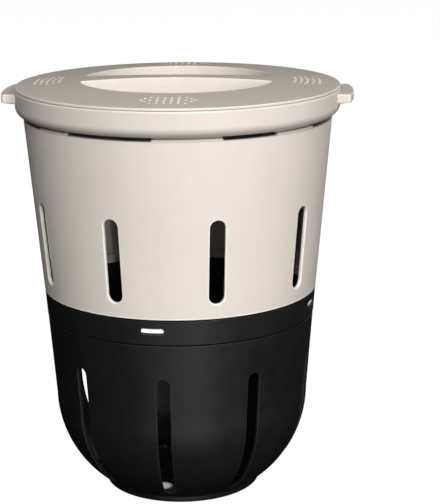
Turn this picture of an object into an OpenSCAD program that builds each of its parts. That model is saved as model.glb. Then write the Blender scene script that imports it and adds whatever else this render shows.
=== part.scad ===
// Round compost bin that is sunk into a garden bed. A slotted basket with
// a bowl-shaped bottom carries a slotted upper bin, held by four snap
// tongues that show through windows in the basket's top band. A collar
// with two lugs stands on tabs on the bin's rim and leaves an air gap,
// and a domed cap with two finger wells closes the collar.
// Millimetres, +Z up, origin at the middle of the foot, on the ground.
// Angles run from the front, -Y, towards +X.

/* [Basket] */
// Outside radius of the flat foot
foot_r = 79; // [76:0.5:80]
// Height of the foot's ring
foot_h = 5; // [4:0.5:6]
// Height where the bowl turns into the straight side
bowl_z = 98; // [96:0.5:100]
// Radius of the bowl's curve
bowl_r = 112; // [111:0.5:114]
// Outside radius where the bowl turns into the side
basket_r = 128.3; // [128:0.1:128.4]
// Growth of the basket's radius for each millimetre of height
basket_taper = 0.0785; // [0.078:0.0005:0.079]
// Height of the line under the basket's top band
band_z = 181.5; // [176:0.5:185]
// Height of the seam between the basket and the upper bin
seam_z = 206; // [205:0.5:207]
// Wall of the basket and of the upper bin
wall = 3.5; // [3.2:0.1:3.6]

/* [Basket slots] */
// Width of a basket slot
low_slot_w = 12.8; // [8:0.1:16]
// Lower end of a basket slot
low_slot_z0 = 14; // [12:0.5:30]
// Upper end of a basket slot
low_slot_z1 = 145.6; // [110:0.1:160]
// Inner radius of the drain openings in the floor
drain_r0 = 36; // [20:1:45]
// Outer radius of the drain openings
drain_r1 = 67; // [55:1:70]
// Number of drain openings
drain_count = 6; // [3:1:9]
// Width of the spokes between the drain openings
spoke_w = 8; // [5:0.5:14]
// Angle of the first drain opening
drain_a = -15; // [-30:1:30]

/* [Upper bin] */
// Outside radius at the seam
bin_r = 137.1; // [137:0.1:137.4]
// Growth of the bin's radius for each millimetre of height
bin_taper = 0.0894; // [0.089:0.0002:0.09]
// Height of the rim
rim_z = 378.5; // [377:0.5:379]
// Inside radius of the thickened rim
rim_in = 146.6; // [146.5:0.1:147]
// Width of an upper slot
high_slot_w = 15; // [8:0.1:18]
// Lower end of an upper slot
high_slot_z0 = 221.3; // [221:0.1:240]
// Upper end of an upper slot
high_slot_z1 = 303; // [270:0.1:340]
// Height of the tabs above the rim
tab_h = 11.5; // [10:0.5:12]

/* [Snap tongues] */
// Width of a window in the band
window_w = 22; // [18:0.5:23]
// Lower edge of the windows
window_z0 = 192.2; // [191.5:0.1:193]
// Upper edge of the windows
window_z1 = 198; // [197:0.1:199]
// Depth of the hook's face below the outside of the band
hook_recess = 1.6; // [1.5:0.1:2]

/* [Collar] */
// Outside radius of the collar
collar_r = 160.5; // [160:0.1:161]
// Height of the collar's lower lip
collar_z0 = 382.5; // [382:0.1:384]
// Height of the collar's top
collar_z1 = 407.6; // [407:0.1:409]
// Radius of the collar's inward curve
collar_curve = 10; // [9:0.5:11]
// Outside radius of the lugs
lug_r = 173.5; // [168:0.5:180]
// Width of a lug in degrees
lug_w = 25; // [12:1:30]
// Lower face of the lugs at the collar
lug_z0 = 394.6; // [392:0.1:396]
// Rise of the lugs' lower face towards their outer edge
lug_rise = 2; // [0:0.1:3]
// Upper face of the lugs
lug_z1 = 404.6; // [403:0.1:406]

/* [Cap] */
// Radius of the cap
cap_r = 160; // [159.5:0.1:160.5]
// Height of the cap's edge
cap_edge = 2.5; // [2.2:0.1:3.5]
// Height of the dome above the cap's edge
dome_h = 7.4; // [6:0.1:9]
// Wall of the cap
cap_wall = 3; // [2.4:0.1:3.2]
// Radius of the round recess that holds the two finger wells
well_r = 96; // [88:0.5:99]
// Depth of the wells' floor below the cap's seat
well_depth = 14; // [10:0.5:16]
// Width of the grip bar at its middle
bar_w = 20; // [18:0.5:24]
// Width of the grip bar at its ends
bar_end_w = 37; // [32:0.5:42]
// Diameter of a vent hole
vent_d = 3.2; // [2:0.1:3.6]
// Radius of the inner row of vent holes
vent_r = 116.6; // [116:0.1:116.8]

/* [Hidden] */
$fn = 128;
gap = 0.3;                               // between parts that move on each other
foot_w = 6;                              // breadth of the foot's ring
floor_z = 4;                             // underside of the basket's floor
floor_t = 3;                             // thickness of the basket's floor
band_step = 0.25;                        // the band stands out this much
low_slot_at = [-44, -4, 36, 75, 118, 161, 205.5, 240, 277.6];       // basket slots
high_slot_at = [-62.4, -22.4, 18.1, 58.2, 99.1, 140.6, 182.1, 223.6, 260]; // upper slots
tongue_a = [-7.5, 76, 177, 256];       // keyed spacing of the snap tongues
tongue_r = 129.2;                        // inside face of a tongue
tongue_t = 2.2;                          // thickness of a tongue
tongue_z0 = window_z0 - 2.6;             // tip of a tongue
root_z = seam_z + 6;                     // boss that a tongue hangs from
tab_a = [-47.6, 7, 51, 92, 134, 187, 230, 272];  // middles of the rim's tabs
tab_w = [15.5, 25, 19.8, 16, 16, 25, 19, 16];      // widths of the tabs, degrees
cap_z = collar_z1 + gap;                 // underside of the cap's edge
bowl_c = basket_r - bowl_r;              // radius of the bowl curve's centre
well_floor = cap_z - well_depth;         // top of the wells' floor
vent_pitch = 6;                          // distance between the vent rows
vent_x = [[3.3, 9.9, 16.4], [3.3, 9.9, 21.6], [3.3, 9.9, 16.4, 24.9],
          [3.3, 9.9, 21.6], [3.3, 9.9, 16.4]];   // holes of each row, along its arc
plug_r = 145.8;                          // outside of the cap's plug ring
collar_lip_r = collar_r - collar_curve * (1 - cos(63));  // outside of the collar's lip
bar_arc = (pow(well_r - 2, 2) + pow((bar_end_w - bar_w)/2, 2)) / (bar_end_w - bar_w);

function side_r(z) = basket_r + (z - bowl_z) * basket_taper;
function bin_side_r(z) = bin_r + (z - seam_z) * bin_taper;
function dome_z(r) = cap_z + cap_edge + dome_h * (1 - pow(r/cap_r, 2));
hook_r = side_r(window_z1) + band_step - hook_recess;

// Points of the bowl's curve at a wall offset d, from height z0 up to the side
function bowl_arc(z0, d, n) =
    let (rr = bowl_r - d, t0 = asin((bowl_z - z0) / rr))
    [for (i = [0:n]) let (t = t0 * (1 - i/n)) [bowl_c + rr * cos(t), bowl_z - rr * sin(t)]];

// The same points from the side down to height z0
function bowl_arc_down(z0, d, n) =
    let (p = bowl_arc(z0, d, n)) [for (i = [n:-1:0]) p[i]];

// The collar's curve at a wall offset d, from angle t0 to t1 below level
function collar_arc(d, t0, t1, n) =
    [for (i = [0:n]) let (t = t0 + (t1 - t0) * i/n)
        [collar_r - collar_curve + (collar_curve - d) * cos(t),
         collar_z0 + 0.9 + collar_curve * sin(63) - (collar_curve - d) * sin(t)]];

// Turns what faces the front to the angle a
module at(a) { rotate([0, 0, a]) children(); }

// Sector of w degrees swept from a section, its middle at the front
module sector(w) { rotate([0, 0, -90 - w/2]) rotate_extrude(angle = w) children(); }

// Slot with round ends, cut along the radius from r0 to r1
module radial_slot(w, z0, z1, r0, r1)
    translate([0, -r0, 0]) rotate([90, 0, 0]) linear_extrude(r1 - r0) {
        translate([-w/2, z0 + w/2]) square([w, z1 - z0 - w]);
        translate([0, z0 + w/2]) circle(d = w, $fn = 48);
        translate([0, z1 - w/2]) circle(d = w, $fn = 48);
    }

// Rectangle with rounded corners, cut along the radius from r0 to r1
module radial_window(w, z0, z1, c, r0, r1)
    translate([0, -r0, 0]) rotate([90, 0, 0]) linear_extrude(r1 - r0) {
        translate([-w/2 + c, z0]) square([w - 2*c, z1 - z0]);
        translate([-w/2, z0 + c]) square([w, z1 - z0 - 2*c]);
        for (x = [-1, 1], z = [z0 + c, z1 - c])
            translate([x * (w/2 - c), z]) circle(r = c, $fn = 24);
    }

// Opening between two spokes of the floor
module drain_opening() {
    h = 180/drain_count;
    k = spoke_w/2 / sin(h);
    intersection() {
        translate([0, 0, floor_z - 1]) difference() {
            cylinder(r = drain_r1, h = floor_t + 2);
            translate([0, 0, -1]) cylinder(r = drain_r0, h = floor_t + 4);
        }
        translate([0, 0, floor_z - 2]) linear_extrude(floor_t + 4)
            polygon([[0, -k], [120 * sin(h), -k - 120 * cos(h)], [-120 * sin(h), -k - 120 * cos(h)]]);
    }
}

// Basket: foot, bowl, straight side and top band, with windows, relief
// grooves for the hooks, slots, and a floor with drain openings
module basket()
    color([0.11, 0.11, 0.105])
    difference() {
        rotate_extrude($fn = 256) polygon(concat(
            [[0, floor_z], [foot_r - foot_w, floor_z], [foot_r - foot_w, 0.6], [foot_r - foot_w + 0.6, 0],
             [foot_r - 1.2, 0], [foot_r - 0.35, 0.35], [foot_r, 1.2], [foot_r, foot_h]],
            bowl_arc(foot_h + 0.6, 0, 24),
            [[side_r(band_z - 1.3), band_z - 1.3], [side_r(band_z) - 1.5, band_z - 1.2],
             [side_r(band_z) - 1.5, band_z + 0.1], [side_r(band_z) + band_step, band_z + 0.2],
             [side_r(seam_z - 0.8) + band_step, seam_z - 0.8], [side_r(seam_z) - 0.35, seam_z],
             [side_r(seam_z) - wall + 0.6, seam_z], [side_r(seam_z) - wall, seam_z - 1]],
            bowl_arc_down(floor_z + floor_t, wall, 20),
            [[0, floor_z + floor_t]]));
        for (a = low_slot_at)
            at(a) radial_slot(low_slot_w, low_slot_z0, low_slot_z1, 50, 150);
        for (a = tongue_a) at(a) {
            radial_window(window_w, window_z0, window_z1, 2.4, 120, 150);
            sector(10.4) polygon([[120, window_z0 + 0.6], [hook_r + gap, window_z0 + 0.6],
                                  [hook_r + gap, seam_z + 2], [120, seam_z + 2]]);
        }
        for (i = [0:drain_count-1])
            at(drain_a + i * 360/drain_count) drain_opening();
    }

// Upper bin: slotted side, thick rim with standing tabs, spigot and
// the four bosses that the tongues hang from
module upper_bin()
    color([0.86, 0.83, 0.79])
    difference() {
        union() {
            rotate_extrude($fn = 256) polygon([
                [bin_r - 0.6, seam_z + gap], [bin_side_r(seam_z + gap + 0.6), seam_z + gap + 0.6],
                [bin_side_r(rim_z - 0.8), rim_z - 0.8], [bin_side_r(rim_z - 0.25) - 0.25, rim_z - 0.25],
                [bin_side_r(rim_z) - 0.8, rim_z],
                [rim_in + 0.6, rim_z], [rim_in, rim_z - 0.6], [rim_in, rim_z - 6],
                [bin_side_r(rim_z - 10) - wall, rim_z - 10],
                [bin_side_r(seam_z + 5.5) - wall, seam_z + 5.5], [130.2, seam_z + 3], [130.2, seam_z - 5],
                [130.7, seam_z - 5.5], [131.9, seam_z - 5.5], [132.4, seam_z - 5], [132.4, seam_z + gap]]);
            for (i = [0:len(tab_a)-1])
                at(tab_a[i]) sector(tab_w[i])
                    polygon([[rim_in, rim_z - 1], [rim_in, rim_z + tab_h - 0.4], [rim_in + 0.4, rim_z + tab_h],
                             [rim_in + 1.3, rim_z + tab_h], [rim_in + 1.7, rim_z + tab_h - 0.4],
                             [rim_in + 1.7, rim_z + 2.2], [rim_in + 4.5, rim_z + 2.2],
                             [rim_in + 4.8, rim_z + 1.9], [rim_in + 4.8, rim_z - 0.4], [rim_in + 4.4, rim_z - 1]]);
            for (a = tongue_a)
                at(a) sector(10.4)
                    polygon([[tongue_r - 0.6, root_z], [tongue_r - 0.6, root_z + 3], [136, root_z + 7],
                             [136, root_z]]);
        }
        for (a = high_slot_at)
            at(a) radial_slot(high_slot_w, high_slot_z0, high_slot_z1, 100, 170);
        for (a = tongue_a)
            at(a) sector(11.2)
                polygon([[126, seam_z - 8], [126, root_z], [tongue_r + tongue_t + 0.8, root_z],
                         [tongue_r + tongue_t + 0.8, seam_z + 3], [133.4, seam_z + 1.6], [133.4, seam_z - 8]]);
    }

// Springy tongue with a hook that stands in its window
module snap_tongue(a)
    color([0.90, 0.88, 0.85])
    at(a) {
        sector(9.6)
            polygon([[tongue_r, tongue_z0 + 1], [tongue_r + 0.7, tongue_z0],
                     [tongue_r + tongue_t - 0.6, tongue_z0], [tongue_r + tongue_t, tongue_z0 + 1],
                     [tongue_r + tongue_t, root_z - gap], [tongue_r, root_z - gap]]);
        intersection() {
            sector(12)
                polygon([[tongue_r + 1, window_z0 + 1], [hook_r - 0.3, window_z0 + 1], [hook_r, window_z0 + 1.3],
                         [hook_r, window_z1 - 0.8], [hook_r - 0.6, window_z1 - 0.2],
                         [tongue_r + 1, window_z1 - 0.2]]);
            radial_window(window_w - 1, window_z0 + 0.9, window_z1 - 0.15, 2, 120, 150);
        }
    }

module snap_tongue_front() { snap_tongue(tongue_a[0]); }
module snap_tongue_right() { snap_tongue(tongue_a[1]); }
module snap_tongue_back() { snap_tongue(tongue_a[2]); }
module snap_tongue_left() { snap_tongue(tongue_a[3]); }

// Collar: outer skirt drawn in at its lip, top flange, inner wall with a
// ledge that stands on the tabs, a lip inside the tabs, two hollow lugs
module collar()
    color([0.86, 0.83, 0.79])
    difference() {
        union() {
            rotate_extrude($fn = 256) polygon(concat(
                [[collar_r, collar_z1 - 1.4], [collar_r - 0.4, collar_z1 - 0.4], [collar_r - 1.4, collar_z1],
                 [plug_r + 0.9, collar_z1], [plug_r + 0.4, collar_z1 - 0.5],
                 [plug_r + 0.4, rim_z + tab_h + gap + 3], [rim_in - 3.4, rim_z + tab_h + gap + 3],
                 [rim_in - 3.4, collar_z0 + 2], [rim_in - 2.9, collar_z0 + 1.5], [rim_in - 0.9, collar_z0 + 1.5],
                 [rim_in - 0.4, collar_z0 + 2], [rim_in - 0.4, rim_z + tab_h + gap],
                 [rim_in + 3.6, rim_z + tab_h + gap], [rim_in + 3.6, rim_z + tab_h + gap + 3],
                 [plug_r + 3.4, rim_z + tab_h + gap + 3],
                 [plug_r + 3.4, collar_z1 - 3], [collar_r - 3, collar_z1 - 3]],
                collar_arc(3, 0, 52, 8),
                [[152.4, collar_z0 + 0.5], [152.9, collar_z0], [collar_lip_r - 0.4, collar_z0], [collar_lip_r, collar_z0 + 0.4]],
                [for (i = [10:-1:0]) collar_arc(0, 0, 63, 10)[i]]));
            for (s = [90, -90])
                at(s) sector(lug_w)
                    polygon([[collar_r - 1, lug_z0], [lug_r - 0.8, lug_z0 + lug_rise], [lug_r, lug_z0 + lug_rise + 0.8],
                             [lug_r, lug_z1 - 1.5], [lug_r - 0.4, lug_z1 - 0.4], [lug_r - 1.5, lug_z1],
                             [collar_r - 1, lug_z1]]);
        }
        for (s = [90, -90])
            at(s) sector(lug_w - 2)
                polygon([[collar_r, lug_z0 - 1], [lug_r - 2.6, lug_z0 - 1], [lug_r - 2.6, lug_z1 - 3],
                         [collar_r, lug_z1 - 3]]);
    }

// Outline of one finger well: the recess's circle less the grip bar
module well_outline(d)
    intersection() {
        circle(r = well_r + d, $fn = 192);
        translate([0, bar_w/2 + bar_arc]) circle(r = bar_arc + d, $fn = 720);
    }

// One group of vent holes: five short arcs in the shape of an eye
module vent_group()
    for (j = [0:4])
        let (r = vent_r + j * vent_pitch)
            for (x = vent_x[j], s = [-1, 1])
                at(s * x / r * 180/PI)
                    translate([0, -r, cap_z - 2]) cylinder(d = vent_d, h = 14, $fn = 20);

// Radii where the dome changes slope: between the vent rows, then even steps
dome_steps = concat([for (i = [5:-1:0]) vent_r - 3 + i * vent_pitch],
                    [for (i = [11:-1:0]) (vent_r - 3) * i/12]);

// Cap: domed shell with a plug ring, two finger wells, the grip bar
// between them and four groups of vent holes
module cap()
    color([0.74, 0.71, 0.67])
    difference() {
        union() {
            rotate_extrude($fn = 256) polygon(concat(
                [[cap_r - 0.7, cap_z], [cap_r, cap_z + 0.7], [cap_r, cap_z + 1.4], [cap_r - 0.4, cap_z + 2.1],
                 [cap_r - 1.4, dome_z(cap_r - 1.4)], [cap_r - 8, dome_z(cap_r - 8)]],
                [for (r = dome_steps) [r, dome_z(r)]],
                [for (i = [len(dome_steps)-1:-1:1]) let (r = dome_steps[i]) [r, dome_z(r) - cap_wall]],
                [[plug_r - 3, dome_z(plug_r - 3) - cap_wall],
                 [plug_r - 3, cap_z - 9], [plug_r - 2.4, cap_z - 9.6], [plug_r - 0.6, cap_z - 9.6],
                 [plug_r, cap_z - 9], [plug_r, cap_z]]));
            for (m = [0, 1]) mirror([0, m, 0])
                translate([0, 0, well_floor - cap_wall])
                    linear_extrude(dome_z(well_r) - 1.5 - well_floor + cap_wall) well_outline(cap_wall);
        }
        for (m = [0, 1]) mirror([0, m, 0])
            translate([0, 0, well_floor]) linear_extrude(40) well_outline(0);
        for (a = [0:90:270]) at(a) vent_group();
    }

basket();
upper_bin();
snap_tongue_front();
snap_tongue_right();
snap_tongue_back();
snap_tongue_left();
collar();
cap();
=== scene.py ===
import math
import bmesh
import bpy
from mathutils import Matrix, Vector


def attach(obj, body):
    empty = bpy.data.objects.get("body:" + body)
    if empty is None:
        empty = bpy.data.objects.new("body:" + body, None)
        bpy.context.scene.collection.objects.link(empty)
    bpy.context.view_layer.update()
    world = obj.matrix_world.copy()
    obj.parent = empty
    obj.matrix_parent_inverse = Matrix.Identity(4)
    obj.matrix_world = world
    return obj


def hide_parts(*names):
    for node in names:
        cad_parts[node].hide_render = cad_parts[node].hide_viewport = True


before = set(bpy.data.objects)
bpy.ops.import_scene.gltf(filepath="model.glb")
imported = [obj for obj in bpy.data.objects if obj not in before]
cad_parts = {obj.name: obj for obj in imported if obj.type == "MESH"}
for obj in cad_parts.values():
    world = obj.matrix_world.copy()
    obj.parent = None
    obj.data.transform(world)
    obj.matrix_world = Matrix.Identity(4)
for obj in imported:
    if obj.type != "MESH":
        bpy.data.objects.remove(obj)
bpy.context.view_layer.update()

MM = 0.001

# ---------------------------------------------------------------- sizes, mm
SEAM, BAND, RIM = 206.0, 181.5, 378.5
BOWL_Z, BOWL_R, BASKET_R, BASKET_T = 98.0, 112.0, 128.3, 0.0785
BIN_R, BIN_T, WALL = 137.1, 0.0894, 3.5
TONGUES = (("front", -7.5), ("right", 76.0), ("back", 177.0), ("left", 256.0))
LOW_AT = [-44, -4, 36, 75, 118, 161, 205.5, 240, 277.6]
HIGH_AT = [-62.4, -22.4, 18.1, 58.2, 99.1, 140.6, 182.1, 223.6, 260]
COLLAR_R, COLLAR_Z0, COLLAR_Z1 = 160.5, 382.5, 407.6
CAP_Z = 407.9
HOOK_R = BASKET_R + (198 - BOWL_Z) * BASKET_T + 0.25 - 1.6


def side_r(z):
    return BASKET_R + (z - BOWL_Z) * BASKET_T


def bin_r(z):
    return BIN_R + (z - SEAM) * BIN_T


def basket_out(z):
    if z >= BOWL_Z:
        return side_r(z)
    return BASKET_R - BOWL_R + math.sqrt(max(0.0, BOWL_R ** 2 - (BOWL_Z - z) ** 2))


def basket_in(z):
    if z >= BOWL_Z:
        return side_r(z) - WALL
    q = BOWL_R - WALL
    return BASKET_R - BOWL_R + math.sqrt(max(0.0, q * q - (BOWL_Z - z) ** 2))


def dome_z(r):
    return CAP_Z + 2.5 + 7.4 * (1 - (r / 160.0) ** 2)


def polar(r, a, z):
    a = math.radians(a)
    return (r * math.sin(a), -r * math.cos(a), z)


# ---------------------------------------------------------------- mesh tools
class Build:
    """Vertices and faces in millimetres, with a painted light mark for each vertex: above zero it paints a highlight,
    below zero it paints shade.
    """

    def __init__(self):
        self.v, self.f, self.e = [], [], []

    def add(self, p, edge=0.0):
        self.v.append(tuple(p))
        self.e.append(edge)
        return len(self.v) - 1

    def ring(self, r, z, cols, edge=0.0):
        return [self.add(polar(r, a, z), edge) for a in cols]

    def bridge(self, a, b, closed=True):
        n = len(a)
        for i in range(n if closed else n - 1):
            j = (i + 1) % n
            self.f.append((a[i], a[j], b[j], b[i]))

    def stitch(self, a, aa, b, bb):
        """Joins two closed rings whose columns differ, by angle."""
        i = j = 0
        na, nb = len(a), len(b)
        ta = list(aa) + [aa[0] + 360]
        tb = list(bb) + [bb[0] + 360]
        shift = 0
        while tb[0] + shift - ta[0] > 180:
            shift -= 360
        while ta[0] - tb[0] - shift > 180:
            shift += 360
        tb = [t + shift for t in tb]
        while i < na or j < nb:
            go_a = j >= nb or (i < na and ta[i + 1] <= tb[j + 1])
            if go_a:
                self.f.append((a[i % na], a[(i + 1) % na], b[j % nb]))
                i += 1
            else:
                self.f.append((a[i % na], b[(j + 1) % nb], b[j % nb]))
                j += 1

    def cap_ring(self, ring, point, edge=0.0):
        c = self.add(point, edge)
        for i in range(len(ring)):
            self.f.append((ring[i], ring[(i + 1) % len(ring)], c))

    def mesh(self, name):
        me = bpy.data.meshes.new(name)
        me.from_pydata([tuple(c * MM for c in p) for p in self.v], [], self.f)
        at = me.attributes.new("edge", "FLOAT", "POINT")
        at.data.foreach_set("value", self.e)
        bm = bmesh.new()
        bm.from_mesh(me)
        bmesh.ops.recalc_face_normals(bm, faces=bm.faces)
        bm.to_mesh(me)
        bm.free()
        me.polygons.foreach_set("use_smooth", [True] * len(me.polygons))
        me.update()
        ob = bpy.data.objects.new(name, me)
        bpy.context.scene.collection.objects.link(ob)
        return ob


def rounded(pts, rad, seg=4, support=0.35, closed=False):
    """Polyline with its corners rounded to the given radii, as (r, z, mark); the mark paints a highlight on each
    rounded corner.
    """
    out = []
    n = len(pts)
    for i in range(n):
        p = Vector(pts[i])
        if (not closed and i in (0, n - 1)) or not rad[i]:
            out.append((p.x, p.y, 0.0))
            continue
        a, b = Vector(pts[i - 1]), Vector(pts[(i + 1) % n])
        da, db = (a - p), (b - p)
        la, lb = da.length, db.length
        da.normalize()
        db.normalize()
        ang = da.angle(db)
        d = min(rad[i] / math.tan(ang / 2), la * 0.45, lb * 0.45)
        rr = d * math.tan(ang / 2)
        c = p + (da + db).normalized() * (rr / math.sin(ang / 2))
        s, e = p + da * d, p + db * d
        if la * 0.5 > d + support:
            q = s + da * support
            out.append((q.x, q.y, 0.0))
        va, vb = s - c, e - c
        turn = va.angle(vb)
        m = max(2, int(round(seg * turn / (math.pi / 2))))
        for k in range(m + 1):
            t = k / m
            w = (va * math.sin((1 - t) * turn) + vb * math.sin(t * turn)) / math.sin(turn)
            q = c + w
            out.append((q.x, q.y, 1.0 if 0 < k < m else 0.5))
        if lb * 0.5 > d + support:
            q = e + db * support
            out.append((q.x, q.y, 0.0))
    return out


def revolve(bld, path, cols, closed=True):
    rings = []
    for r, z, e in path:
        if r < 1e-6:
            rings.append(("pole", z, e))
        else:
            rings.append(bld.ring(r, z, cols, e))
    n = len(rings)
    for i in range(n if closed else n - 1):
        a, b = rings[i], rings[(i + 1) % n]
        pa, pb = isinstance(a, tuple), isinstance(b, tuple)
        if pa and pb:
            continue
        if pa:
            bld.cap_ring(b, (0, 0, a[1]), a[2])
        elif pb:
            bld.cap_ring(a, (0, 0, b[1]), b[2])
        else:
            bld.bridge(a, b)
    return rings


def frange(a, b, n):
    return [a + (b - a) * i / n for i in range(n + 1)]


EVEN = [360.0 * i / 240 for i in range(240)]


class Holes:
    """A band of a shell with equal holes: slots with round ends, or windows
    with round corners. Both skins get the same columns and rows, and rings of
    faces run from the grid to each hole's rounded edge and through it."""

    def __init__(self, centres, hw, c, zc0, zc1, m, rref, rows, outer, inner,
                 nray=5, nflat=0, step=2.0, fo=0.9, fi=0.6, zin=lambda z: z):
        self.c, self.hw, self.half = c, hw, hw - c
        self.zc0, self.zc1, self.m = zc0, zc1, m
        self.outer, self.inner, self.zin = outer, inner, zin
        self.fo, self.fi = fo, fi
        tt = [math.tan(math.radians(45.0 * i / nray)) for i in range(nray + 1)]
        self.nray = nray
        flat = frange(-self.half, self.half, nflat) if self.half > 1e-6 else [0.0]
        xs = [-(self.half + m * tt[i]) for i in range(nray, 0, -1)] + flat + \
             [self.half + m * tt[i] for i in range(1, nray + 1)]
        self.zs = [zc0 - m * tt[i] for i in range(nray, 0, -1)] + rows + \
                  [zc1 + m * tt[i] for i in range(1, nray + 1)]
        self.nx, self.nz = len(xs), len(self.zs)
        self.nrow, self.nflat = len(rows), len(flat)
        self.cols, self.marks = [], []
        n = len(centres)
        self.centres = centres
        for k, a in enumerate(centres):
            s = len(self.cols)
            self.cols += [a + math.degrees(x / rref) for x in xs]
            self.marks.append((s, len(self.cols) - 1))
            nxt = centres[(k + 1) % n] + (360 if k == n - 1 else 0)
            lo, hi = self.cols[-1], nxt + math.degrees(xs[0] / rref)
            q = max(1, round((hi - lo) / step))
            self.cols += [lo + (hi - lo) * j / q for j in range(1, q)]

    def loop(self, e):
        """The hole's outline at offset e, from the right side's foot, anticlockwise,
        with the matching (row, column) on the block's border."""
        pts = []
        n, c = self.nray, self.c + e
        hr, hl = self.half, -self.half
        row0, row1 = n, n + self.nrow - 1
        right, left = self.nx - 1, 0
        top, bot = self.nz - 1, 0
        for i in range(self.nrow):
            pts.append((self.hw + e, self.zs[row0 + i], row0 + i, right))
        for i in range(1, n + 1):
            t = math.radians(45.0 * i / n)
            pts.append((hr + c * math.cos(t), self.zc1 + c * math.sin(t), row1 + i, right))
        for i in range(n - 1, -1, -1):
            t = math.radians(90 - 45.0 * i / n)
            pts.append((hr + c * math.cos(t), self.zc1 + c * math.sin(t), top, self.nx - 1 - n + i))
        for i in range(1, self.nflat):
            pts.append((hr + (hl - hr) * i / (self.nflat - 1), self.zc1 + c, top, self.nx - 1 - n - i))
        for i in range(1, n + 1):
            t = math.radians(90 + 45.0 * i / n)
            pts.append((hl + c * math.cos(t), self.zc1 + c * math.sin(t), top, n - i))
        for i in range(n - 1, 0, -1):
            t = math.radians(180 - 45.0 * i / n)
            pts.append((hl + c * math.cos(t), self.zc1 + c * math.sin(t), row1 + i, left))
        for i in range(self.nrow - 1, -1, -1):
            pts.append((-self.hw - e, self.zs[row0 + i], row0 + i, left))
        for i in range(1, n + 1):
            t = math.radians(180 + 45.0 * i / n)
            pts.append((hl + c * math.cos(t), self.zc0 + c * math.sin(t), row0 - i, left))
        for i in range(n - 1, -1, -1):
            t = math.radians(270 - 45.0 * i / n)
            pts.append((hl + c * math.cos(t), self.zc0 + c * math.sin(t), bot, n - i))
        for i in range(1, self.nflat):
            pts.append((hl + (hr - hl) * i / (self.nflat - 1), self.zc0 - c, bot, n + i))
        for i in range(1, n + 1):
            t = math.radians(270 + 45.0 * i / n)
            pts.append((hr + c * math.cos(t), self.zc0 + c * math.sin(t), bot, self.nx - 1 - n + i))
        for i in range(n - 1, 0, -1):
            t = math.radians(360 - 45.0 * i / n)
            pts.append((hr + c * math.cos(t), self.zc0 + c * math.sin(t), row0 - i, right))
        return pts

    def skin(self, bld, fn, zmap):
        grid = {}
        inside = set()
        for s, e in self.marks:
            inside.update(range(s + 1, e))
        nc = len(self.cols)
        for i, z in enumerate(self.zs):
            zz = zmap(z)
            r = fn(zz)
            for j, a in enumerate(self.cols):
                if 0 < i < self.nz - 1 and j in inside:
                    continue
                grid[i, j] = bld.add(polar(r, a, zz))
        inblock = set()
        for s, e in self.marks:
            inblock.update(range(s, e))
        for i in range(self.nz - 1):
            for j in range(nc):
                if j in inblock:
                    continue
                k = (j + 1) % nc
                bld.f.append((grid[i, j], grid[i, k], grid[i + 1, k], grid[i + 1, j]))
        return grid

    def point(self, fn, a, x, z, zmap=None):
        zz = zmap(z) if zmap else z
        r = fn(zz)
        rad = math.radians(a)
        d = math.sqrt(max(0.0, r * r - x * x))
        return Vector((d * math.sin(rad) + x * math.cos(rad), -d * math.cos(rad) + x * math.sin(rad), zz))

    def build(self, bld):
        """Makes both skins and the holes. Returns their end rings: outer foot,
        outer top, inner foot, inner top."""
        ident = lambda z: z
        go = self.skin(bld, self.outer, ident)
        gi = self.skin(bld, self.inner, self.zin)
        base = self.loop(0.0)
        n = len(base)
        for (s, e), a in zip(self.marks, self.centres):
            walls = []
            for fn, grid, f, zmap in ((self.outer, go, self.fo, ident), (self.inner, gi, self.fi, self.zin)):
                border = [grid[i, s + j] for _, _, i, j in base]
                far = self.loop(f + 0.6)
                near = self.loop(f)
                mid = []
                for k in range(n):
                    x, z, i, j = far[k]
                    zb = zmap(self.zs[i])
                    xf = fn(zb) * math.sin(math.radians(self.cols[s + j] - a))
                    mid.append((0.45 * x + 0.55 * xf, 0.45 * z + 0.55 * zb))
                rings = [border]
                rings.append([bld.add(self.point(fn, a, x, z)) for x, z in mid])
                rings.append([bld.add(self.point(fn, a, x, z)) for x, z, _, _ in far])
                start = [self.point(fn, a, x, z) for x, z, _, _ in near]
                sharp = [self.point(fn, a, x, z) for x, z, _, _ in base]
                other = self.inner if fn is self.outer else self.outer
                back = [self.point(other, a, x, z) for x, z, _, _ in base]
                end = [p + (q - p).normalized() * f for p, q in zip(sharp, back)]
                # the fillet rings carry marks that paint a highlight along each hole's edge
                for t in (0.0, 0.2, 0.45, 0.7, 1.0):
                    mark = 0.5 if t == 1.0 else 0.8 if t == 0.0 else 1.0
                    rings.append([bld.add(p * (1 - t) ** 2 + q * 2 * t * (1 - t) + w * t * t, mark)
                                  for p, q, w in zip(start, sharp, end)])
                for p, q in zip(rings, rings[1:]):
                    bld.bridge(p, q)
                walls.append(rings[-1])
            bld.bridge(walls[0], walls[1])
        nc = len(self.cols)
        top = self.nz - 1
        return ([go[0, j] for j in range(nc)], [go[top, j] for j in range(nc)],
                [gi[0, j] for j in range(nc)], [gi[top, j] for j in range(nc)])


def chain(bld, start, path, cols, end=None):
    """Runs rings along a path, from an existing ring, to another if given."""
    prev = start
    for r, z, e in path:
        cur = bld.ring(r, z, cols, e)
        bld.bridge(prev, cur)
        prev = cur
    if end is not None:
        bld.bridge(prev, end)
    return prev


def boolean(ob, tool, op):
    md = ob.modifiers.new("cut", "BOOLEAN")
    md.object = tool
    md.operation = op
    md.solver = "EXACT"
    dg = bpy.context.evaluated_depsgraph_get()
    me = bpy.data.meshes.new_from_object(ob.evaluated_get(dg))
    ob.modifiers.clear()
    old = ob.data
    ob.data = me
    bpy.data.meshes.remove(old)
    bpy.data.objects.remove(tool)


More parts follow.
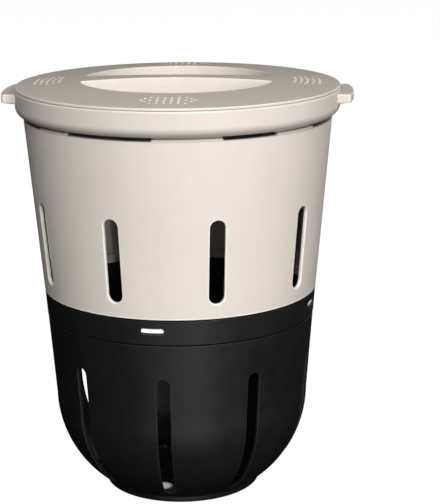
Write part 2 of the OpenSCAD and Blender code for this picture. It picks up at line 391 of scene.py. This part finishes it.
def tidy(ob, dist=0.00002):
    bm = bmesh.new()
    bm.from_mesh(ob.data)
    bmesh.ops.remove_doubles(bm, verts=bm.verts, dist=dist)
    bmesh.ops.dissolve_degenerate(bm, edges=bm.edges, dist=dist)
    # a thin triangle that lies in the corner of one other face goes into it
    for v in list(bm.verts):
        if len(v.link_edges) != 2 or len(v.link_faces) != 2:
            continue
        tri, big = sorted(v.link_faces, key=lambda f: len(f.verts))
        if len(tri.verts) != 3 or len(big.verts) < 4 or tri.calc_area() > 1e-9:
            continue
        rest = [u for u in big.verts if u is not v]
        bm.faces.remove(tri)
        bm.faces.remove(big)
        bm.verts.remove(v)
        bm.faces.new(rest)
    bm.verts.index_update()
    same = {}
    for f in bm.faces:
        same.setdefault(frozenset(v.index for v in f.verts), []).append(f)
    flaps = [f for group in same.values() if len(group) > 1 for f in group]
    if flaps:
        bmesh.ops.delete(bm, geom=flaps, context="FACES_ONLY")
        bmesh.ops.delete(bm, geom=[e for e in bm.edges if not e.link_faces], context="EDGES")
        bmesh.ops.delete(bm, geom=[v for v in bm.verts if not v.link_faces], context="VERTS")
    bm.to_mesh(ob.data)
    bm.free()


def shade(ob, surfaces, limit=38.0):
    """Sets the normals: exact ones on the known smooth surfaces, and an
    average of the neighbours within the limit angle elsewhere."""
    me = ob.data
    me.polygons.foreach_set("use_smooth", [True] * len(me.polygons))
    lim = math.cos(math.radians(limit))
    fn = [p.normal.copy() for p in me.polygons]
    area = [p.area for p in me.polygons]
    of = [[] for _ in me.vertices]
    for p in me.polygons:
        for v in p.vertices:
            of[v].append(p.index)
    out = [None] * len(me.loops)
    for p in me.polygons:
        n = fn[p.index]
        for li in p.loop_indices:
            v = me.loops[li].vertex_index
            co = me.vertices[v].co / MM
            got = None
            for s in surfaces:
                got = s(co, n)
                if got is not None:
                    break
            if got is None:
                got = Vector((0, 0, 0))
                for q in of[v]:
                    if fn[q].dot(n) > lim:
                        got += fn[q] * (area[q] ** 0.5)
                if got.length < 1e-9:
                    got = n.copy()
            out[li] = got.normalized()
    me.normals_split_custom_set(out)


def cone_surface(fn, z0, z1, sign, tol=0.03):
    """Exact normals of a turned surface whose radius at z is fn(z)."""
    def get(p, n):
        if not z0 - 1e-4 <= p.z <= z1 + 1e-4:
            return None
        r = math.hypot(p.x, p.y)
        if abs(r - fn(p.z)) > tol:
            return None
        h = 0.05
        za, zb = max(z0, p.z - h), min(z1, p.z + h)
        sl = (fn(zb) - fn(za)) / (zb - za)
        w = Vector((p.x / r, p.y / r, -sl)).normalized() * sign
        return w if w.dot(n) > 0.95 else None
    return get


def plane_surface(z, up, tol=0.01):
    def get(p, n):
        if abs(p.z - z) < tol and n.z * up > 0.98:
            return Vector((0, 0, up))
        return None
    return get


def dome_surface(off, up, rmax):
    def get(p, n):
        r = math.hypot(p.x, p.y)
        if r > rmax or abs(p.z - (dome_z(r) - off)) > 0.04:
            return None
        w = Vector((p.x * 2 * 7.4 / 25600.0, p.y * 2 * 7.4 / 25600.0, 1)).normalized() * up
        return w if w.dot(n) > 0.985 else None
    return get


def sector_solid(name, a0, a1, prof, n):
    """Closed solid swept from a section (r, z) over an angle."""
    b = Build()
    secs = [[b.add(polar(r, a, z)) for r, z in prof] for a in frange(a0, a1, n)]
    for p, q in zip(secs, secs[1:]):
        b.bridge(p, q)
    b.f.append(tuple(secs[0]))
    b.f.append(tuple(reversed(secs[-1])))
    return b.mesh(name)


def bevel_solid(ob, width, seg=2, angle=30):
    bm = bmesh.new()
    bm.from_mesh(ob.data)
    es = [e for e in bm.edges if len(e.link_faces) == 2 and e.calc_face_angle() > math.radians(angle)]
    bmesh.ops.bevel(bm, geom=es, offset=width * MM, segments=seg, profile=0.5, affect="EDGES", clamp_overlap=True)
    bm.to_mesh(ob.data)
    bm.free()


def join(obs):
    """Several solids as one object."""
    me = bpy.data.meshes.new("joined")
    bm = bmesh.new()
    for o in obs:
        bm.from_mesh(o.data)
    bm.to_mesh(me)
    bm.free()
    ob = bpy.data.objects.new("joined", me)
    bpy.context.scene.collection.objects.link(ob)
    for o in obs:
        bpy.data.objects.remove(o)
    return ob


def offset_loop(pts, e):
    """Closed plan outline moved outwards by e along its normals."""
    n = len(pts)
    area = sum(pts[i][0] * pts[(i + 1) % n][1] - pts[(i + 1) % n][0] * pts[i][1] for i in range(n))
    s = 1.0 if area > 0 else -1.0
    out = []
    for i in range(n):
        a, p, b = Vector(pts[i - 1]), Vector(pts[i]), Vector(pts[(i + 1) % n])
        u, w = (p - a).normalized(), (b - p).normalized()
        nu, nw = Vector((u.y, -u.x)) * s, Vector((w.y, -w.x)) * s
        m = nu + nw
        m = m / max(0.2, m.dot(m) / 2)
        out.append((p.x + m.x * e, p.y + m.y * e))
    return out


def loft(name, loops, cap0=True, cap1=True):
    """Closed solid through loops of equal length; each loop is a list of points."""
    b = Build()
    rings = [[b.add(p) for p in lp] for lp in loops]
    for p, q in zip(rings, rings[1:]):
        b.bridge(p, q)
    if cap0:
        b.f.append(tuple(rings[0]))
    if cap1:
        b.f.append(tuple(reversed(rings[-1])))
    return b.mesh(name)


def turn(pts, a):
    a = math.radians(a)
    c, s = math.cos(a), math.sin(a)
    return [(x * c - y * s, x * s + y * c) for x, y in pts]


# ---------------------------------------------------------------- upper bin
def make_upper_bin():
    b = Build()
    hw = 7.5
    zc0, zc1 = 221.3 + hw, 303.0 - hw
    h = Holes(HIGH_AT, hw, hw, zc0, zc1, 12.0, 140.0,
              frange(zc0, zc1, 5), bin_r, lambda z: bin_r(z) - WALL, nray=6, step=2.1, fo=1.3, fi=0.7)
    of, ot, inf, it = h.build(b)
    low = rounded([(bin_r(h.zs[0]), h.zs[0]), (bin_r(208.5), 208.5), (bin_r(208.1), 208.1), (bin_r(206.3), 206.3),
                   (132.4, 206.3), (132.4, 200.5), (130.2, 200.5),
                   (130.2, 209.0), (bin_r(211.5) - WALL, 211.5), (bin_r(h.zs[0]) - WALL, h.zs[0])],
                  [0, 0, 0, 1.0, 0.3, 0.5, 0.5, 0.8, 0.8, 0])
    # painted shade on the bin's bottom edge where it meets the basket, and a painted highlight line on the wall just
    # above it
    low = [(r, z, -1.0 if z < 206.9 and r > 134 else 1.0 if r > 136 and z < 208.2 else e) for r, z, e in low]
    chain(b, of, low[1:-1], h.cols, inf)
    top = rounded([(bin_r(h.zs[-1]), h.zs[-1]), (bin_r(RIM), RIM), (146.6, RIM), (146.6, 372.5),
                   (bin_r(368.5) - WALL, 368.5), (bin_r(h.zs[-1]) - WALL, h.zs[-1])],
                  [0, 0.8, 0.8, 1.0, 1.0, 0], seg=5)
    top = [(r, z, 0.0) for r, z, e in top]
    chain(b, ot, top[1:-1], h.cols, it)
    ob = b.mesh("upper_bin_shell")
    cuts = []
    for _, a in TONGUES:
        cuts.append(sector_solid("cut", a - 5.6, a + 5.6, [(126, 198), (133.4, 198), (133.4, 207.6), (132.2, 209.0),
                                                           (132.2, 211.97), (126, 211.97)], 6))
    boolean(ob, join(cuts), "DIFFERENCE")
    adds = []
    for a, w in ((-47.6, 15.5), (7, 25), (51, 19.8), (92, 16), (134, 16), (187, 25), (230, 19), (272, 16)):
        t = sector_solid("tab", a - w / 2, a + w / 2, [(146.75, 377.4), (151.4, 377.4), (151.4, 380.7), (148.3, 380.7),
                                                      (148.3, 390.0), (146.75, 390.0)], 8)
        bevel_solid(t, 0.35, 3)
        adds.append(t)
    for _, a in TONGUES:
        t = sector_solid("boss", a - 5.2, a + 5.2, [(128.6, 212.0), (135.9, 212.0), (135.9, 219.0), (134.6, 219.0),
                                                    (128.6, 215.0)], 6)
        bevel_solid(t, 0.3, 2)
        adds.append(t)
    boolean(ob, join(adds), "UNION")
    tidy(ob)
    # painted shade: the rim top and the tabs under the collar are darkened a little
    at = ob.data.attributes["edge"]
    for v in ob.data.vertices:
        if v.co.z > 377.6 * MM:
            at.data[v.index].value = -0.25
    shade(ob, [cone_surface(bin_r, 207.2, 376.4, 1), cone_surface(lambda z: bin_r(z) - WALL, 212.6, 367.4, -1),
               plane_surface(RIM, 1)])
    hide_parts("upper_bin")
    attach(ob, "upper_bin")
    return ob


# ---------------------------------------------------------------- basket
def make_basket():
    b = Build()
    hw = 6.4
    zc0, zc1 = 14.0 + hw, 145.6 - hw
    t0 = math.asin((BOWL_Z - zc0) / BOWL_R)
    rows = [BOWL_Z - BOWL_R * math.sin(t0 * (1 - i / 16)) for i in range(17)] + frange(BOWL_Z, zc1, 4)[1:]
    rows[0] = zc0
    zin = lambda z: z if z >= 14.0 else 14.0 - (14.0 - z) * (14.0 - 9.4) / (14.0 - 6.9)
    s = Holes(LOW_AT, hw, hw, zc0, zc1, 13.5, 125.0, rows,
              basket_out, basket_in, nray=6, step=2.1, fo=0.9, fi=0.6, zin=zin)
    of, ot, inf, it = s.build(b)
    foot = rounded([(basket_out(s.zs[0]), s.zs[0]), (79.25, 5.2), (79.0, 0.0), (73.0, 0.0), (73.0, 4.0), (60.0, 4.0)],
                   [0, 0.5, 1.1, 0.8, 0.8, 0])
    # painted shade on the outside of the foot near the floor
    foot = [(r, z, -0.5 if r > 78 and z < 4.4 else e) for r, z, e in foot]
    last = chain(b, of, foot[1:-1], s.cols)
    for r in (68.5, 64.0, 50.0, 34.0, 18.0):
        cur = b.ring(r, 4.0, s.cols)
        b.bridge(last, cur)
        last = cur
    b.cap_ring(last, (0, 0, 4.0))
    inner = rounded([(basket_in(zin(s.zs[0])), zin(s.zs[0])), (73.5, 7.0), (60.0, 7.0)], [0, 3.0, 0], seg=8)
    last = chain(b, inf, inner[1:-1], s.cols)
    for r in (68.0, 64.0, 50.0, 34.0, 18.0):
        cur = b.ring(r, 7.0, s.cols)
        b.bridge(last, cur)
        last = cur
    b.cap_ring(last, (0, 0, 7.0))

    w = Holes(sorted(a for _, a in TONGUES), 11.0, 2.5, 194.7, 195.5, 6.0, 136.0, [194.7, 195.1, 195.5],
              lambda z: side_r(z) + 0.25, lambda z: side_r(z) - WALL, nray=5, nflat=8, step=2.0, fo=0.55, fi=0.4)
    wf, wt, wif, wit = w.build(b)
    deep = side_r(181.5) - 1.5
    g = rounded([(basket_out(s.zs[-1]), s.zs[-1]), (side_r(180.2), 180.2), (deep, 180.3), (deep, 180.9)],
                [0, 0.25, 0, 0])
    # painted shade in the groove under the band
    g = [(r, z, -1.0 if r < deep + 0.1 else e) for r, z, e in g]
    last = chain(b, ot, g[1:], s.cols)
    g = rounded([(deep, 181.0), (deep, 181.6), (side_r(181.7) + 0.25, 181.7), (side_r(w.zs[0]) + 0.25, w.zs[0])],
                [0, 0, 0.25, 0])
    g = [(r, z, -1.0 if r < deep + 0.1 else e) for r, z, e in g]
    first = b.ring(g[0][0], g[0][1], w.cols, -1.0)
    b.stitch(last, s.cols, first, w.cols)
    chain(b, first, g[1:-1], w.cols, wf)
    li = b.ring(basket_in(183.5), 183.5, s.cols)
    b.bridge(it, li)
    fi = b.ring(basket_in(185.0), 185.0, w.cols)
    b.stitch(li, s.cols, fi, w.cols)
    b.bridge(fi, wif)
    top = rounded([(side_r(w.zs[-1]) + 0.25, w.zs[-1]), (side_r(SEAM) + 0.25, SEAM), (side_r(SEAM) - WALL, SEAM),
                   (side_r(w.zs[-1]) - WALL, w.zs[-1])], [0, 0.8, 0.6, 0])
    # painted shade along the basket's top edge under the bin
    top = [(r, z, -1.0 if z > 205.45 else e) for r, z, e in top]
    chain(b, wt, top[1:-1], w.cols, wit)
    ob = b.mesh("basket_shell")

    cuts = []
    for _, a in TONGUES:
        cuts.append(sector_solid("cut", a - 5.24, a + 5.24, [(128, 192.8), (HOOK_R + 0.3, 192.8), (HOOK_R + 0.3, 208),
                                                           (128, 208)], 6))
    o1, o0 = math.degrees(math.asin(4 / 67)), math.degrees(math.asin(4 / 36))
    ring = [(67, a) for a in frange(-30 + o1, 30 - o1, 12)] + [(36, a) for a in frange(30 - o0, -30 + o0, 8)]
    pts = [(r * math.sin(math.radians(a)), -r * math.cos(math.radians(a))) for r, a in ring]
    rad = [0.0] * len(pts)
    for i in (0, 12, 13, len(pts) - 1):
        rad[i] = 3.0
    pts = [(x, y) for x, y, _ in rounded(pts, rad, seg=5, support=99, closed=True)]
    for k in range(6):
        base = turn(pts, -15 + 60 * k)
        cuts.append(loft("drain", [[(x, y, z) for x, y in offset_loop(base, e)]
                                   for z, e in ((1.5, 0.9), (3.9, 0.6), (4.5, 0.0), (6.5, 0.0), (7.1, 0.6), (9.0, 0.9))]))
    boolean(ob, join(cuts), "DIFFERENCE")
    tidy(ob)
    shade(ob, [cone_surface(basket_out, 7.0, 179.8, 1), cone_surface(basket_in, 9.6, 205, -1),
               cone_surface(lambda z: side_r(z) + 0.25, 182.1, 205.1, 1), plane_surface(4, -1), plane_surface(7, 1)])
    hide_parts("basket")
    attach(ob, "basket")
    return ob


# ---------------------------------------------------------------- collar
def collar_curve(d, t0, t1, n):
    return [(150.5 + (10 - d) * math.cos(math.radians(t)), 392.31 - (10 - d) * math.sin(math.radians(t)))
            for t in frange(t0, t1, n)]


def make_collar():
    b = Build()
    z1 = COLLAR_Z1
    pts, rad = [], []

    def add(p, r=0.0):
        pts.append(p)
        rad.append(r)

    add((160.5, z1), 1.5)
    add((146.2, z1), 0.6)
    add((146.2, 393.3), 0.8)
    add((143.2, 393.3), 0.6)
    add((143.2, 384.0), 0.6)
    add((146.2, 384.0), 0.6)
    add((146.2, 390.3), 0.6)
    add((150.2, 390.3), 0.5)
    add((150.2, 393.3), 0.5)
    add((149.2, 393.3), 0.4)
    add((149.2, 404.6), 1.0)
    add((157.5, 404.6), 1.0)
    for p in collar_curve(3, 0, 50, 9):
        add(p)
    add((152.6, 383.1), 0.4)
    add((155.0, 383.1), 0.2)
    for p in reversed(collar_curve(0, 0, 60, 12)):
        add(p)
    add((160.5, 396.0))
    revolve(b, rounded(pts, rad, seg=5, closed=True), EVEN)
    ob = b.mesh("collar_ring")
    adds = []
    for side in (90, -90):
        raw = [(158.6, -12.5), (173.5, -12.5)] + [(173.5, a) for a in frange(-10, 10, 8)] + \
              [(173.5, 12.5), (158.6, 12.5)] + [(158.6, a) for a in frange(10, -10, 8)]
        xy = [(r * math.sin(math.radians(a)), -r * math.cos(math.radians(a))) for r, a in raw]
        rr = [0.0] * len(xy)
        rr[1], rr[11] = 3.2, 3.2
        xy = [(x, y) for x, y, _ in rounded(xy, rr, seg=7, support=99, closed=True)]
        loops = []

        def level(e, zf):
            lp = offset_loop(xy, e)
            loops.append([(x, y, zf(math.hypot(x, y))) for x, y in turn(lp, side)])

        low = lambda r: 394.6 + 2.0 * min(1.0, max(0.0, (r - 160.5) / 13.0))
        level(-2.9, lambda r: 401.4)
        level(-2.9, lambda r: low(r) + 0.4)
        level(-2.5, low)
        level(-1.1, low)
        for t in (30, 60):
            t = math.radians(t)
            level(-1.1 * (1 - math.sin(t)), lambda r, t=t: low(r) + 1.1 * (1 - math.cos(t)))
        level(0.0, lambda r: low(r) + 1.1)
        level(0.0, lambda r: low(r) + 1.6)
        level(0.0, lambda r: 402.6)
        level(0.0, lambda r: 403.2)
        for t in (22.5, 45, 67.5, 90):
            t = math.radians(t)
            level(-1.4 * (1 - math.cos(t)), lambda r, t=t: 403.2 + 1.4 * math.sin(t))
        level(-1.9, lambda r: 404.6)
        adds.append(loft("lug", loops))
    boolean(ob, join(adds), "UNION")
    tidy(ob)

    def under(z):
        return 150.5 + math.sqrt(max(0.0, 100 - (392.31 - z) ** 2)) if z < 392.31 else 160.5

    shade(ob, [cone_surface(under, 384.6, 406.0, 1), plane_surface(404.6, 1), plane_surface(z1, 1)])
    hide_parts("collar")
    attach(ob, "collar")
    return ob


# ---------------------------------------------------------------- cap
def well_outline():
    big = 534.03
    rad = big - 10.0
    lo, hi = 60.0, 96.0
    for _ in range(60):
        x = (lo + hi) / 2
        y = big - math.sqrt(rad * rad - x * x)
        if x * x + y * y < 96.0 ** 2:
            lo = x
        else:
            hi = x
    x1 = (lo + hi) / 2
    y1 = math.sqrt(96.0 ** 2 - x1 * x1)
    a1 = math.atan2(y1, x1)
    pts = [(x, big - math.sqrt(rad * rad - x * x)) for x in frange(-x1, x1, 28)]
    pts += [(96 * math.cos(t), 96 * math.sin(t)) for t in frange(a1, math.pi - a1, 48)[1:-1]]
    rr = [0.0] * len(pts)
    rr[0] = rr[28] = 3.3
    return [(x, y) for x, y, _ in rounded(pts, rr, seg=7, support=99, closed=True)]


def make_cap():
    b = Build()
    pts, rad = [], []

    def add(p, r=0.0):
        pts.append(p)
        rad.append(r)

    add((160.0, CAP_Z), 0.6)
    add((160.0, 410.5), 1.0)
    for r in (156.5, 152, 146) + tuple(140 - 6 * i for i in range(23)):
        add((r, dome_z(r)))
    add((0.0, dome_z(0)))
    add((0.0, dome_z(0) - 3))
    for r in tuple(8 + 12 * i for i in range(12)):
        add((r, dome_z(r) - 3))
    add((142.8, dome_z(142.8) - 3), 0.0)
    add((142.8, 398.3), 0.7)
    add((145.8, 398.3), 0.7)
    add((145.8, CAP_Z), 0.0)
    revolve(b, rounded(pts, rad, seg=5, closed=True), EVEN)
    ob = b.mesh("cap_cover")

    base = well_outline()
    adds, cuts = [], []
    for m in (1, -1):
        def level(e, zf):
            lp = offset_loop(base, e)
            return [(x, m * y, zf(math.hypot(x, y))) for x, y in lp]
        shell = [level(0.0, lambda r: 390.9)]
        for t in (22.5, 45, 67.5, 90):
            t = math.radians(t)
            shell.append(level(3 * math.sin(t), lambda r, t=t: 390.9 + 3 * (1 - math.cos(t))))
        shell.append(level(3.0, lambda r: dome_z(r) - 1.5))
        adds.append(loft("shell", shell))
        f = 1.4
        well = [level(f + 0.5, lambda r: 426.0), level(f + 0.5, lambda r: dome_z(r) + 0.5), level(f, dome_z)]
        for t in (18, 36, 54, 72, 90):
            t = math.radians(t)
            well.append(level(f * (1 - math.sin(t)), lambda r, t=t: dome_z(r) - f * (1 - math.cos(t))))
        well.append(level(-0.6, lambda r: 396.3))
        for t in (20, 40, 60, 75, 90):
            t = math.radians(t)
            well.append(level(-0.6 - 2.3 * (1 - math.cos(t)), lambda r, t=t: 396.2 - 2.3 * math.sin(t)))
        cuts.append(loft("well", well))
    boolean(ob, join(adds), "UNION")
    for g in (0, 90, 180, 270):
        for j in range(-2, 3):
            r = 116.6 + (j + 2) * 6
            for s in (3.3, 9.9) + ((21.6,) if abs(j) == 1 else (16.4,)) + ((24.9,) if j == 0 else ()):
                for sgn in (-1, 1):
                    a = g + sgn * math.degrees(s / r)
                    cx, cy, _ = polar(r, a, 0)
                    lp = [(math.cos(t), math.sin(t)) for t in frange(0.05, 2 * math.pi + 0.05, 16)[:-1]]
                    z = dome_z(r)
                    cuts.append(loft("vent", [[(cx + q * u, cy + q * w, zz) for u, w in lp]
                                              for q, zz in ((1.6, z - 9), (1.6, z - 0.35), (1.72, z - 0.12), (2.0, z + 0.12), (2.0, z + 3))]))
    boolean(ob, join(cuts), "DIFFERENCE")
    tidy(ob, 0.00001)
    shade(ob, [dome_surface(0, 1, 158.2), dome_surface(3, -1, 142), plane_surface(393.9, 1), plane_surface(CAP_Z, -1)])
    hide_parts("cap")
    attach(ob, "cap")
    return ob


# ---------------------------------------------------------------- materials
def nodes_of(name):
    m = bpy.data.materials.new(name)
    m.use_nodes = True
    nt = m.node_tree
    nt.nodes.clear()
    out = nt.nodes.new("ShaderNodeOutputMaterial")
    bs = nt.nodes.new("ShaderNodeBsdfPrincipled")
    nt.links.new(bs.outputs[0], out.inputs[0])
    return m, nt, bs


def moulded(name, dark, light, rough, grain=0.12, grain_size=2600.0, wave=0.00006, edge=0.12, edge_col=None,
            spec=0.5, coat=0.0, speck=0.0):
    """Injection-moulded plastic: fine spark grain, slow colour and gloss drift,
    soft sink waves, a painted highlight (paler colour) on edges marked above zero and painted shade (near black, less
    gloss) where the mark is below zero."""
    m, nt, bs = nodes_of(name)
    N, L = nt.nodes.new, nt.links.new
    tc = N("ShaderNodeTexCoord")

    def noise(scale, detail, rough_=0.5):
        n = N("ShaderNodeTexNoise")
        n.inputs["Scale"].default_value = scale
        n.inputs["Detail"].default_value = detail
        n.inputs["Roughness"].default_value = rough_
        L(tc.outputs["Object"], n.inputs["Vector"])
        return n

    def ramp(src, lo, hi, a, b):
        r = N("ShaderNodeMapRange")
        r.inputs["From Min"].default_value = lo
        r.inputs["From Max"].default_value = hi
        r.inputs["To Min"].default_value = a
        r.inputs["To Max"].default_value = b
        L(src, r.inputs["Value"])
        return r.outputs["Result"]

    slow = noise(9.0, 3.0)
    cloud = noise(70.0, 4.0, 0.6)
    fine = noise(grain_size, 2.0, 0.6)
    mix = N("ShaderNodeMix")
    mix.data_type = "RGBA"
    mix.inputs["A"].default_value = (*dark, 1)
    mix.inputs["B"].default_value = (*light, 1)
    add = N("ShaderNodeMath")
    add.operation = "ADD"
    L(ramp(slow.outputs["Fac"], 0.3, 0.7, 0.0, 0.6), add.inputs[0])
    L(ramp(cloud.outputs["Fac"], 0.3, 0.7, 0.0, 0.4), add.inputs[1])
    L(add.outputs[0], mix.inputs["Factor"])
    col = mix.outputs["Result"]
    at = N("ShaderNodeAttribute")
    at.attribute_name = "edge"
    # painted highlight: edges marked above zero are mixed toward a paler colour
    edge_highlight = N("ShaderNodeMath")
    edge_highlight.operation = "MULTIPLY"
    L(ramp(at.outputs["Fac"], 0.0, 1.0, 0.0, edge), edge_highlight.inputs[0])
    L(ramp(cloud.outputs["Fac"], 0.35, 0.65, 0.6, 1.0), edge_highlight.inputs[1])
    em = N("ShaderNodeMix")
    em.data_type = "RGBA"
    em.inputs["B"].default_value = (*(edge_col or (0.9, 0.88, 0.85)), 1)
    L(edge_highlight.outputs[0], em.inputs["Factor"])
    L(col, em.inputs["A"])
    # painted shade: where the mark is below zero the colour goes almost black
    painted_shade = N("ShaderNodeMix")
    painted_shade.data_type = "RGBA"
    painted_shade.inputs["B"].default_value = (0.003, 0.003, 0.0025, 1)
    L(ramp(at.outputs["Fac"], -1.0, 0.0, 0.95, 0.0), painted_shade.inputs["Factor"])
    L(em.outputs["Result"], painted_shade.inputs["A"])
    L(painted_shade.outputs["Result"], bs.inputs["Base Color"])
    rg = N("ShaderNodeMath")
    rg.operation = "ADD"
    L(ramp(cloud.outputs["Fac"], 0.3, 0.7, rough - 0.03, rough + 0.03), rg.inputs[0])
    L(ramp(fine.outputs["Fac"], 0.3, 0.7, -0.02, 0.02), rg.inputs[1])
    L(rg.outputs[0], bs.inputs["Roughness"])
    b1 = N("ShaderNodeBump")
    b1.inputs["Strength"].default_value = 1.0
    b1.inputs["Distance"].default_value = wave
    L(noise(28.0, 1.0).outputs["Fac"], b1.inputs["Height"])
    b2 = N("ShaderNodeBump")
    b2.inputs["Strength"].default_value = grain
    b2.inputs["Distance"].default_value = 0.0001
    L(fine.outputs["Fac"], b2.inputs["Height"])
    L(b1.outputs["Normal"], b2.inputs["Normal"])
    L(b2.outputs["Normal"], bs.inputs["Normal"])
    # painted shade also takes most of the gloss away where the mark is below zero
    L(ramp(at.outputs["Fac"], -1.0, 0.0, 0.06, spec), bs.inputs["Specular IOR Level"])
    bs.inputs["IOR"].default_value = 1.49
    return m


def paint(ob, mat):
    ob.data.materials.clear()
    ob.data.materials.append(mat)


# the beige gets a strong painted highlight on its marked edges, the black a faint grey one
BEIGE = moulded("beige_plastic", (0.560, 0.508, 0.456), (0.600, 0.548, 0.496), 0.46, edge=0.5)
COLLAR = moulded("collar_plastic", (0.528, 0.479, 0.430), (0.566, 0.517, 0.468), 0.46)
LID = moulded("lid_plastic", (0.536, 0.483, 0.428), (0.574, 0.521, 0.466), 0.44)
BLACK = moulded("black_plastic", (0.0050, 0.0049, 0.0046), (0.0078, 0.0077, 0.0072), 0.39, edge=0.03,
                edge_col=(0.30, 0.30, 0.30), grain=0.10)
WHITE = moulded("white_plastic", (0.80, 0.79, 0.77), (0.86, 0.85, 0.83), 0.38)

upper = make_upper_bin()
basket = make_basket()
collar = make_collar()
cap = make_cap()
paint(upper, BEIGE)
paint(basket, BLACK)
paint(collar, COLLAR)
paint(cap, LID)
for side, _ in TONGUES:
    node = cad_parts["snap_tongue_" + side]
    paint_slots = node.material_slots
    for s in paint_slots:
        s.material = WHITE

# ---------------------------------------------------------------- floor
me = bpy.data.meshes.new("floor")
bm = bmesh.new()
bmesh.ops.create_circle(bm, cap_ends=True, segments=96, radius=9.0)
bm.to_mesh(me)
bm.free()
floor = bpy.data.objects.new("floor", me)
bpy.context.scene.collection.objects.link(floor)
fm, nt, bs = nodes_of("floor_paper")
tc = nt.nodes.new("ShaderNodeTexCoord")
nz = nt.nodes.new("ShaderNodeTexNoise")
nz.inputs["Scale"].default_value = 60.0
nt.links.new(tc.outputs["Object"], nz.inputs["Vector"])
fb = nt.nodes.new("ShaderNodeBump")
fb.inputs["Strength"].default_value = 0.02
nt.links.new(nz.outputs["Fac"], fb.inputs["Height"])
nt.links.new(fb.outputs["Normal"], bs.inputs["Normal"])
bs.inputs["Base Color"].default_value = (0.04, 0.04, 0.04, 1)
bs.inputs["Roughness"].default_value = 0.9
bs.inputs["Specular IOR Level"].default_value = 0.0
bs.inputs["Emission Color"].default_value = (1, 1, 1, 1)
# painted shade: the sheet glows white all round, but not under the foot, so the space there shows dark
sx = nt.nodes.new("ShaderNodeVectorMath")
sx.operation = "LENGTH"
nt.links.new(tc.outputs["Object"], sx.inputs[0])
gl = nt.nodes.new("ShaderNodeMapRange")
gl.interpolation_type = "SMOOTHSTEP"
gl.inputs["From Min"].default_value = 0.0775
gl.inputs["From Max"].default_value = 0.079
gl.inputs["To Min"].default_value = 0.0
gl.inputs["To Max"].default_value = 0.99
nt.links.new(sx.outputs["Value"], gl.inputs["Value"])
# painted pool of light: a small glowing spot on the sheet where light through the front slot would fall
sd = nt.nodes.new("ShaderNodeVectorMath")
sd.operation = "DISTANCE"
sd.inputs[1].default_value = (-0.0185, -0.036, 0.0)
nt.links.new(tc.outputs["Object"], sd.inputs[0])
g2 = nt.nodes.new("ShaderNodeMapRange")
g2.inputs["From Min"].default_value = 0.0060
g2.inputs["From Max"].default_value = 0.0105
g2.inputs["To Min"].default_value = 0.34
g2.inputs["To Max"].default_value = 0.0
nt.links.new(sd.outputs["Value"], g2.inputs["Value"])
ga = nt.nodes.new("ShaderNodeMath")
ga.operation = "ADD"
nt.links.new(gl.outputs["Result"], ga.inputs[0])
nt.links.new(g2.outputs["Result"], ga.inputs[1])
nt.links.new(ga.outputs[0], bs.inputs["Emission Strength"])
floor.data.materials.append(fm)
floor.location.z = -0.0003
floor.visible_diffuse = floor.visible_glossy = floor.visible_shadow = False

# ---------------------------------------------------------------- light
world = bpy.data.worlds.new("studio")
bpy.context.scene.world = world
world.use_nodes = True
wt = world.node_tree
wt.nodes.clear()
wo = wt.nodes.new("ShaderNodeOutputWorld")
lp = wt.nodes.new("ShaderNodeLightPath")
wa = wt.nodes.new("ShaderNodeBackground")
wa.inputs["Color"].default_value = (0.004, 0.004, 0.004, 1)
wb = wt.nodes.new("ShaderNodeBackground")
wb.inputs["Color"].default_value = (1, 1, 1, 1)
wm = wt.nodes.new("ShaderNodeMixShader")
wt.links.new(lp.outputs["Is Camera Ray"], wm.inputs[0])
wt.links.new(wa.outputs[0], wm.inputs[1])
wt.links.new(wb.outputs[0], wm.inputs[2])
wt.links.new(wm.outputs[0], wo.inputs[0])


def soft_box(name, az, el, dist, size, power, target=(0, 0, 0.22), colour=(1, 1, 1)):
    """Area light seen at azimuth az (0 is the front, 90 the right) and elevation el."""
    a, e = math.radians(az), math.radians(el)
    d = Vector((math.sin(a) * math.cos(e), -math.cos(a) * math.cos(e), math.sin(e)))
    la = bpy.data.lights.new(name, "AREA")
    la.shape = "RECTANGLE"
    la.size, la.size_y = size
    la.energy = power
    la.color = colour
    ob = bpy.data.objects.new(name, la)
    ob.location = Vector(target) + d * dist
    ob.rotation_euler = (-d).to_track_quat("-Z", "Y").to_euler()
    bpy.context.scene.collection.objects.link(ob)
    return ob


# the front wall of boxes that the bin's bright band comes from, a weak band on
# the right, two boxes behind that shine through the slots, and a little bounce
BOXES = (("key", -8, 35, 33.4), ("key_right", 10, 35, 10.8), ("fill", 30, 5, 11.5), ("fill_high", 30, 35, 8.0),
         ("side_high", 50, 35, 11.4), ("side", 75, 5, 2.9), ("edge", 105, 5, 2.0), ("edge_high", 105, 35, 1.2),
         ("back_left", -150, 5, 1.3), ("back_right", 150, 5, 3.6), ("bounce_left", -10, -25, 1.4),
         ("bounce_right", 15, -25, 2.2))
for nm, az, el, power in BOXES:
    soft_box(nm, az, el, 4.4, (1.8, 1.8), power * 4.1)
# two smaller boxes that reach the inside through the upper slots
soft_box("slot_right", 28.8, 8, 4.4, (0.07, 0.6), 6.0 * 4.1)
soft_box("slot_left", -22, 8, 4.4, (0.07, 0.6), 1.5 * 4.1)

# ---------------------------------------------------------------- camera
cam_data = bpy.data.cameras.new("camera")
cam = bpy.data.objects.new("camera", cam_data)
bpy.context.scene.collection.objects.link(cam)
yaw, pitch, roll = math.radians(-2.530), math.radians(14.145), math.radians(-0.443)
fwd = Vector((math.sin(yaw) * math.cos(pitch), math.cos(yaw) * math.cos(pitch), -math.sin(pitch)))
r0 = Vector((math.cos(yaw), -math.sin(yaw), 0))
u0 = r0.cross(fwd)
right = r0 * math.cos(roll) + u0 * math.sin(roll)
up = -r0 * math.sin(roll) + u0 * math.cos(roll)
cam.matrix_world = Matrix(((right.x, up.x, -fwd.x, 0.10995), (right.y, up.y, -fwd.y, -1.57235),
                           (right.z, up.z, -fwd.z, 0.63523), (0, 0, 0, 1)))
cam_data.lens = 114.49
cam_data.sensor_width = 36
cam_data.sensor_fit = "AUTO"
cam_data.clip_end = 100
bpy.context.scene.camera = cam
bpy.context.scene.view_settings.view_transform = "Standard"
